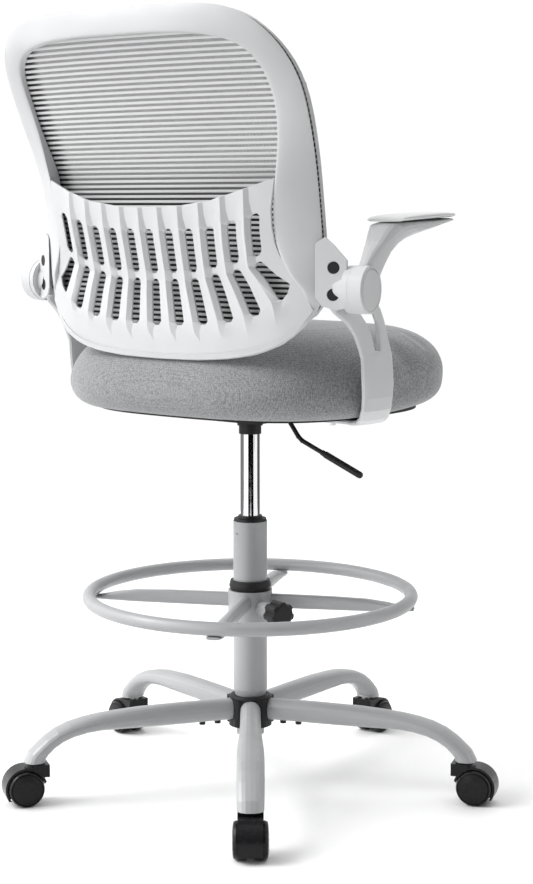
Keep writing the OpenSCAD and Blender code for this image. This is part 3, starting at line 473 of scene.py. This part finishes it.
def cushion():
    """The seat's padded cover, puffed out by cloth simulation and then relaxed."""
    piece = copy_of("seat_cushion", "seat_cushion_cover")
    low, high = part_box("seat_cushion")
    mod = piece.modifiers.new("remesh", "REMESH")
    mod.mode = "VOXEL"
    mod.voxel_size = VOXEL
    bpy.context.view_layer.objects.active = piece
    bpy.ops.object.modifier_apply(modifier="remesh")
    mesh = piece.data
    start = [v.co.copy() for v in mesh.vertices]
    cloth = piece.modifiers.new("cloth", "CLOTH")
    cloth.settings.use_pressure = True
    cloth.settings.uniform_pressure_force = PRESSURE
    cloth.settings.effector_weights.gravity = 0
    cloth.settings.quality = 5
    for number in range(1, FRAMES + 1):
        bpy.context.scene.frame_set(number)
    shape = piece.evaluated_get(bpy.context.evaluated_depsgraph_get()).to_mesh()
    puffed = [v.co.copy() for v in shape.vertices]
    piece.modifiers.remove(cloth)
    bpy.context.scene.frame_set(1)
    for vertex, old, new in zip(mesh.vertices, start, puffed):
        push = new - old
        above = min(1.0, max(0.0, (old.z - low.z - BOARD_RISE) / BOARD_FADE))
        behind = min(1.0, max(0.0, (BACK_Y - old.y) / BACK_FADE))
        if push.length > PUFF:
            push = push.normalized() * PUFF
        vertex.co = old + push * above * behind
    relax(mesh, 6)
    subdivide(piece, 1)
    smooth(piece, 70)
    dress(piece, "seat_fabric")


cushion()


# ---------- mesh of the back ----------

MESH_COLUMNS = 48      # faces across the mesh cloth
STRIPE_ROWS = 6        # rows of faces for each stripe
BAND_RISE = 0.0007     # how far the close bands stand out
EDGE_GAP = 0.0006      # left free between the cloth and the edge of its CAD sheet


def mesh_layer(node, name, material):
    """One layer of mesh cloth on the surface of its CAD sheet, with the close bands standing out a little."""
    tree = surface_of(node)
    low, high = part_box(node)
    rows_by_height = {}
    for v in NODES[node].data.vertices:
        rows_by_height.setdefault(round(v.co.z, 4), []).append(abs(v.co.x))
    heights = sorted(rows_by_height)
    widths = [max(rows_by_height[z]) for z in heights]

    def half_width(z):
        for z0, z1, w0, w1 in zip(heights, heights[1:], widths, widths[1:]):
            if z <= z1:
                return w0 + (w1 - w0) * max(0.0, (z - z0) / (z1 - z0))
        return widths[-1]

    columns = MESH_COLUMNS
    count = int((high.z - low.z) / STRIPE * STRIPE_ROWS)
    verts, faces = [], []
    for i in range(count + 1):
        z = low.z + 0.0004 + (high.z - low.z - 0.0008) * i / count
        wide = half_width(z) - EDGE_GAP
        away = abs((z / STRIPE) % 1.0 - 0.5)
        raised = BAND_RISE if away < BAND / 2 else 0.0
        for j in range(columns + 1):
            x = wide * (2 * j / columns - 1)
            hit = tree.ray_cast(Vector((x, 1.0, z)), Vector((0, -1, 0)))[0]
            y = hit.y if hit is not None else low.y
            verts.append((x, y + raised, z))
    for i in range(count):
        for j in range(columns):
            a = i * (columns + 1) + j
            faces.append((a, a + 1, a + columns + 2, a + columns + 1))
    piece = new_piece(name, verts, faces, BODY_OF[node])
    # distance from the cloth's side edge; the front layer's material paints black shade where it is small
    rim = piece.data.attributes.new("rim", "FLOAT", "POINT")
    rim.data.foreach_set("value", [half_width(z) - abs(x) for x, y, z in verts])
    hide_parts(node)
    smooth(piece, 60)
    dress(piece, "mesh_fabric", material)


mesh_layer("back_mesh_rear", "mesh_cloth_rear", MESH_REAR)
mesh_layer("back_mesh_front", "mesh_cloth_front", MESH_FRONT)


# ---------- stage, light and camera ----------

VIEW = math.radians(219)           # azimuth of the camera
DISTANCE = 2.6864                  # from the column axis
HEIGHT = 0.8351
PITCH = math.radians(7.122)
YAW = math.radians(0.5)
FOCAL_LENGTH = 77.054              # in millimetres, for a 36 mm picture height
AWAY = Vector((-math.sin(VIEW), math.cos(VIEW), 0))      # level direction of view
RIGHT = Vector((math.cos(VIEW), math.sin(VIEW), 0))      # towards the right of the picture

BOX_DISTANCE, BOX_HEIGHT = 2.2, 0.8      # of the softboxes, from the column axis and above the floor

# brightness of the sky at the sides, behind the camera, added on the picture's left, and added above
SKY_SIDE, SKY_FRONT, SKY_LEFT, SKY_TOP = 1.0, 0.03, 1.6, 0.5
BACKDROP = 1.02                    # brightness straight behind the chair


def floor():
    """A pale floor, small enough to end below the background."""
    reach = 1.9
    piece = bpy.data.objects.new("floor", bpy.data.meshes.new("floor"))
    corners = [(-reach, -reach, 0), (reach, -reach, 0), (reach, reach, 0), (-reach, reach, 0)]
    piece.data.from_pydata(corners, [], [(0, 1, 2, 3)])
    bpy.context.scene.collection.objects.link(piece)
    s = Shader("floor", (0.93, 0.93, 0.93), 0.6)
    s.connect("Roughness", s.ramp(s.noise(3, 3), 0.55, 0.7, 0.3, 0.7))
    piece.data.materials.append(s.material)


def sky():
    """Soft light from both sides, above and behind the chair, and little from the side of the camera."""
    world = bpy.data.worlds.new("studio")
    bpy.context.scene.world = world
    world.use_nodes = True
    tree = world.node_tree
    background = tree.nodes["Background"]
    coords = tree.nodes.new("ShaderNodeTexCoord")

    def along(direction):
        dot = tree.nodes.new("ShaderNodeVectorMath")
        dot.operation = "DOT_PRODUCT"
        dot.inputs[1].default_value = direction
        tree.links.new(coords.outputs["Generated"], dot.inputs[0])
        return dot.outputs["Value"]

    def fade(value, start, end, low, high):
        made = tree.nodes.new("ShaderNodeMapRange")
        made.interpolation_type = "SMOOTHSTEP"
        tree.links.new(value, made.inputs[0])
        for socket, number in zip(made.inputs[1:], (start, end, low, high)):
            socket.default_value = number
        return made.outputs[0]

    def join(operation, a, b):
        made = tree.nodes.new("ShaderNodeMath")
        made.operation = operation
        for socket, value in zip(made.inputs, (a, b)):
            tree.links.new(value, socket)
        return made.outputs[0]

    front = fade(along(-AWAY), -0.2, 0.55, SKY_SIDE, SKY_FRONT)
    left = fade(along(-RIGHT), 0.4, 0.95, 0, SKY_LEFT)
    above = fade(along(Vector((0, 0, 1))), 0.3, 0.95, 0, SKY_TOP)
    below = fade(along(Vector((0, 0, 1))), -0.12, 0.0, 0.15, 1)
    round_about = join("MULTIPLY", join("ADD", join("ADD", front, left), above), below)
    mix = tree.nodes.new("ShaderNodeMix")
    tree.links.new(fade(along(AWAY), 0.86, 0.925, 0, 1), mix.inputs[0])
    tree.links.new(round_about, mix.inputs[2])
    mix.inputs[3].default_value = BACKDROP
    tree.links.new(mix.outputs[0], background.inputs["Color"])


def sun(toward, power, softness):
    """The one broad light from above; the softness is its width in degrees."""
    light = bpy.data.lights.new("key", "SUN")
    light.energy = power
    light.angle = math.radians(softness)
    lamp = bpy.data.objects.new("key", light)
    lamp.rotation_euler = toward.to_track_quat("-Z", "Y").to_euler()
    bpy.context.scene.collection.objects.link(lamp)


def softbox(name, bearing, width, height, power, lights_all=False):
    """An upright softbox at a bearing from the camera's. It is seen in gloss only, unless it lights all."""
    light = bpy.data.lights.new(name, "AREA")
    light.shape = "RECTANGLE"
    light.size = width
    light.size_y = height
    light.energy = power
    lamp = bpy.data.objects.new(name, light)
    turn = math.radians(bearing)
    outward = RIGHT * math.sin(turn) - AWAY * math.cos(turn)
    lamp.location = outward * BOX_DISTANCE + Vector((0, 0, BOX_HEIGHT))
    aim = Vector((0, 0, 0.6)) - lamp.location
    lamp.rotation_euler = aim.to_track_quat("-Z", "Y").to_euler()
    lamp.visible_diffuse = lights_all
    bpy.context.scene.collection.objects.link(lamp)


def camera():
    """The camera, level but for its pitch, at the bearing and distance named above."""
    data = bpy.data.cameras.new("camera")
    data.sensor_width = 36
    data.lens = FOCAL_LENGTH
    lens = bpy.data.objects.new("camera", data)
    lens.location = -AWAY * DISTANCE + Vector((0, 0, HEIGHT))
    lens.rotation_euler = (math.pi / 2 - PITCH, 0, VIEW - YAW)
    bpy.context.scene.collection.objects.link(lens)
    bpy.context.scene.camera = lens


bpy.context.scene.view_settings.view_transform = "Standard"
floor()
sky()
sun(RIGHT * 1.1 + AWAY * 0.12 - Vector((0, 0, 1)), 2.1, 34)
softbox("strip", -30, 0.3, 1.9, 3.5, lights_all=True)
softbox("box_left", -52, 2.4, 1.9, 26)
softbox("box_right", 66, 2.2, 1.9, 23)
camera()
